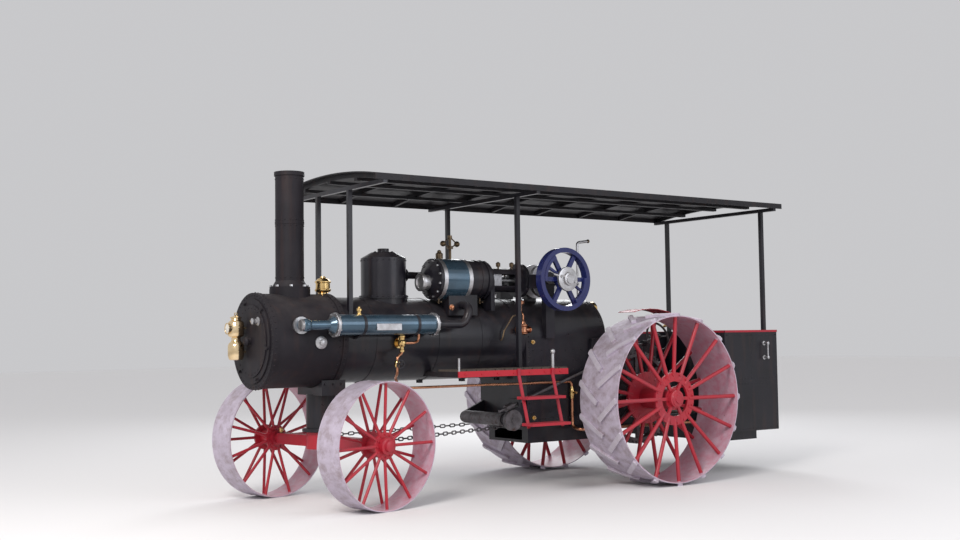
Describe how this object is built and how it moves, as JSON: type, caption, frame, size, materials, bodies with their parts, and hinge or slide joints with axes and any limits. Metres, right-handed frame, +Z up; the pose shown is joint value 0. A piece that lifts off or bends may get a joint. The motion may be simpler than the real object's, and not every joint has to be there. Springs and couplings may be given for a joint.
{
  "type": "steam traction engine",
  "caption": "Steam traction engine with locomotive boiler, spoked steel wheels with strakes, open engine and gears, canopy, rear tank and bunker.",
  "frame": {"origin": "on the ground, under the middle of the engine's box", "axes": "+X forward towards the smokebox, +Y to the engine's left, +Z up"},
  "size_m": [6.7284, 2.7426, 3.275],
  "materials": {
    "black_paint": "gloss black enamel, sooty",
    "smokebox_black": "matt heat-proof black with rust",
    "red_paint": "weathered red enamel",
    "tyre_steel": "worn and weathered steel",
    "blue_enamel": "gloss dark blue-green enamel",
    "bright_steel": "machined and oiled",
    "gear_iron": "greasy cast iron",
    "brass": "polished",
    "canopy_paint": "black sheet iron, dusty on top",
    "chain_steel": "dull wrought steel"
  },
  "bodies": {
    "root": {"boiler_barrel": "black_paint", "smokebox": "smokebox_black", "chimney": "smokebox_black", "steam_dome": "black_paint", "firebox": "black_paint", "ash_pan": "gear_iron", "safety_valve": "brass", "feed_heater": "blue_enamel", "engine_bed": "black_paint", "steam_cylinder": "blue_enamel", "crosshead": "bright_steel", "connecting_rod": "bright_steel", "countershaft": "bright_steel", "governor": "brass", "axle_brackets": "black_paint", "rear_axle": "bright_steel", "front_pedestal": "black_paint", "drum_brackets": "black_paint", "steering_chains": "chain_steel", "platform": "black_paint", "fenders": "red_paint", "tank": "black_paint", "drawbar": "gear_iron", "running_boards": "red_paint", "ladder": "red_paint", "canopy": "canopy_paint", "canopy_posts": "black_paint", "levers": "bright_steel"},
    "smokebox_door": {"smokebox_door": "smokebox_black", "lamp": "brass"},
    "fire_door": {"fire_door": "gear_iron"},
    "tank_lid": {"tank_lid": "black_paint"},
    "crank": {"crankshaft": "bright_steel", "flywheel": "blue_enamel"},
    "idler": {"idler_gear": "gear_iron"},
    "compensating_gear": {"main_gear": "gear_iron"},
    "left_pinion": {"bull_pinion_left": "gear_iron"},
    "right_pinion": {"bull_pinion_right": "gear_iron"},
    "left_rear_wheel": {"rear_wheel_left": "tyre_steel", "bull_gear_left": "gear_iron"},
    "right_rear_wheel": {"rear_wheel_right": "tyre_steel", "bull_gear_right": "gear_iron"},
    "front_axle": {"front_axle": "red_paint"},
    "left_front_wheel": {"front_wheel_left": "tyre_steel"},
    "right_front_wheel": {"front_wheel_right": "tyre_steel"},
    "steering_drum": {"steering_drum": "gear_iron"},
    "steering_shaft": {"steering_shaft": "bright_steel"}
  },
  "joints": [
    {"name": "steer", "type": "hinge", "parent": "root", "child": "front_axle", "pos_m": [2.42585, 0, 0.61], "axis": [0, 0, 1], "range_deg": [-36, 14], "deforming": ["steering_chains"]},
    {"name": "left_front_roll", "type": "hinge", "parent": "front_axle", "child": "left_front_wheel", "pos_m": [2.42585, 0, 0.61], "axis": [-0.1908, 0.9816, 0], "continuous": true},
    {"name": "right_front_roll", "type": "hinge", "parent": "front_axle", "child": "right_front_wheel", "pos_m": [2.42585, 0, 0.61], "axis": [-0.1908, 0.9816, 0], "continuous": true},
    {"name": "left_rear_roll", "type": "hinge", "parent": "root", "child": "left_rear_wheel", "pos_m": [-1.17415, 0, 0.928], "axis": [0, 1, 0], "continuous": true},
    {"name": "right_rear_roll", "type": "hinge", "parent": "root", "child": "right_rear_wheel", "pos_m": [-1.17415, 0, 0.928], "axis": [0, 1, 0], "continuous": true},
    {"name": "left_pinion_turn", "type": "hinge", "parent": "root", "child": "left_pinion", "pos_m": [-1.07415, 0, 1.53583], "axis": [0, 1, 0], "continuous": true},
    {"name": "right_pinion_turn", "type": "hinge", "parent": "root", "child": "right_pinion", "pos_m": [-1.07415, 0, 1.53583], "axis": [0, 1, 0], "continuous": true},
    {"name": "crank_turn", "type": "hinge", "parent": "root", "child": "crank", "pos_m": [-0.12415, 0, 2.23], "axis": [0, 1, 0], "continuous": true},
    {"name": "idler_turn", "type": "hinge", "parent": "root", "child": "idler", "pos_m": [-0.40098, 0, 1.85266], "axis": [0, 1, 0], "continuous": true},
    {"name": "compensating_turn", "type": "hinge", "parent": "root", "child": "compensating_gear", "pos_m": [-1.07415, 0, 1.53583], "axis": [0, 1, 0], "continuous": true},
    {"name": "drum_turn", "type": "hinge", "parent": "root", "child": "steering_drum", "pos_m": [0.42585, 0, 0.74], "axis": [0, 1, 0], "range_deg": [-288, 112]},
    {"name": "hand_wheel_turn", "type": "hinge", "parent": "root", "child": "steering_shaft", "pos_m": [0.47275, 0.5, 0.88143], "axis": [-0.9492, 0, 0.3148], "range_deg": [-3456, 1344]},
    {"name": "smokebox_door_swing", "type": "hinge", "parent": "root", "child": "smokebox_door", "pos_m": [3.18085, -0.442, 1.61], "axis": [0, 0, -1], "range_deg": [0, 110]},
    {"name": "fire_door_swing", "type": "hinge", "parent": "root", "child": "fire_door", "pos_m": [-0.97045, 0.196, 1.25], "axis": [0, 0, -1], "range_deg": [0, 110]},
    {"name": "tank_lid_lift", "type": "hinge", "parent": "root", "child": "tank_lid", "pos_m": [-3.18415, 0.65, 1.0703], "axis": [0, -1, 0], "range_deg": [0, 95]}
  ],
  "couplings": [
    {"joint": "left_pinion_turn", "follows": "left_rear_roll", "ratio": -4.5},
    {"joint": "right_pinion_turn", "follows": "right_rear_roll", "ratio": -4.5},
    {"joint": "idler_turn", "follows": "crank_turn", "ratio": -0.34483},
    {"joint": "compensating_turn", "follows": "crank_turn", "ratio": 0.30303},
    {"joint": "drum_turn", "follows": "steer", "ratio": 8},
    {"joint": "hand_wheel_turn", "follows": "steer", "ratio": 96}
  ]
}
